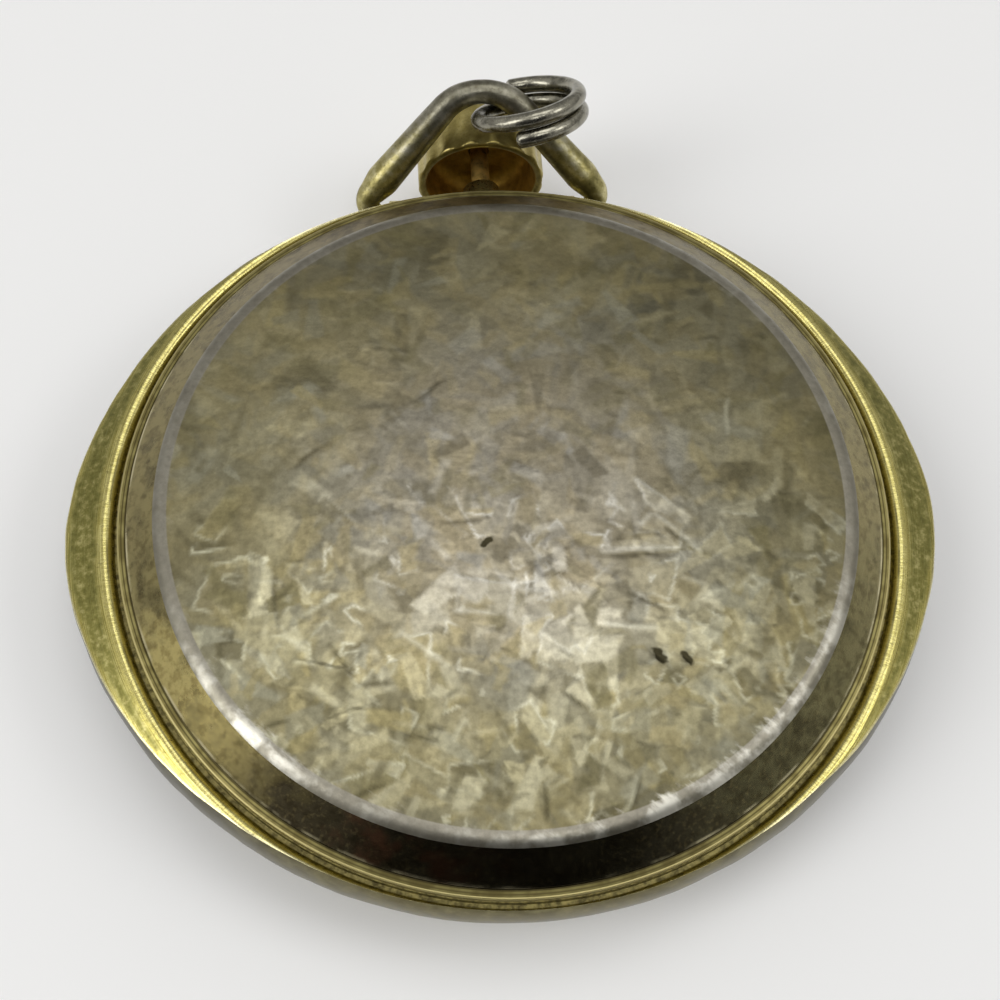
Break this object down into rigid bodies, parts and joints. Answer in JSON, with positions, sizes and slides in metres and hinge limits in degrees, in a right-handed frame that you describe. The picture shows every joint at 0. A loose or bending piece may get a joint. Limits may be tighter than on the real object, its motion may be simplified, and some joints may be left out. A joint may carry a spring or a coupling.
{
  "type": "pendant watch",
  "caption": "Oval-banded pendant watch with a bevelled press-fit back, fluted crown, swinging wire bow and a small split ring, lying on its face.",
  "frame": {"origin": "on the case axis, in the outer face of the flat crystal that the watch lies on", "axes": "+Z from the crystal up through the back cover, +Y from the case axis towards the crown, +X to the right when the back is seen with the crown at the top"},
  "size_m": [0.0422, 0.0431, 0.012],
  "materials": {
    "case_metal": "brushed gold tone, worn and mottled",
    "cover_metal": "worn through to steel, scratched, with a polished gold-tone bevel",
    "bezel_metal": "polished gold tone",
    "crystal_glass": "clear",
    "dial_paint": "satin cream paint",
    "hand_paint": "black paint",
    "stem_steel": "plain steel",
    "crown_metal": "polished gold tone",
    "bow_metal": "worn gold tone",
    "ring_metal": "polished nickel plate"
  },
  "bodies": {
    "case": {"case_body": "case_metal", "back_cover": "cover_metal", "bezel": "bezel_metal", "crystal": "crystal_glass", "dial": "dial_paint"},
    "stem": {"winding_stem": "stem_steel"},
    "crown": {"crown": "crown_metal"},
    "bow": {"bow": "bow_metal", "split_ring": "ring_metal"},
    "minute_hand": {"minute_hand": "hand_paint"},
    "hour_hand": {"hour_hand": "hand_paint"}
  },
  "joints": [
    {"name": "crown_pull", "type": "slide", "parent": "case", "child": "stem", "axis": [0, 1, 0], "range_m": [0, 0.001]},
    {"name": "crown_turn", "type": "hinge", "parent": "stem", "child": "crown", "pos_m": [0, 0.0225, 0.0042], "axis": [0, 1, 0], "continuous": true},
    {"name": "bow_swing", "type": "hinge", "parent": "case", "child": "bow", "pos_m": [0, 0.01895, 0.004], "axis": [1, 0, 0], "range_deg": [0, 28]},
    {"name": "minute_turn", "type": "hinge", "parent": "case", "child": "minute_hand", "pos_m": [0, 0, 0.0015], "axis": [0, 0, 1], "continuous": true},
    {"name": "hour_turn", "type": "hinge", "parent": "case", "child": "hour_hand", "pos_m": [0, 0, 0.0019], "axis": [0, 0, 1], "continuous": true}
  ],
  "couplings": [
    {"joint": "hour_turn", "follows": "minute_turn", "ratio": 0.083333}
  ]
}
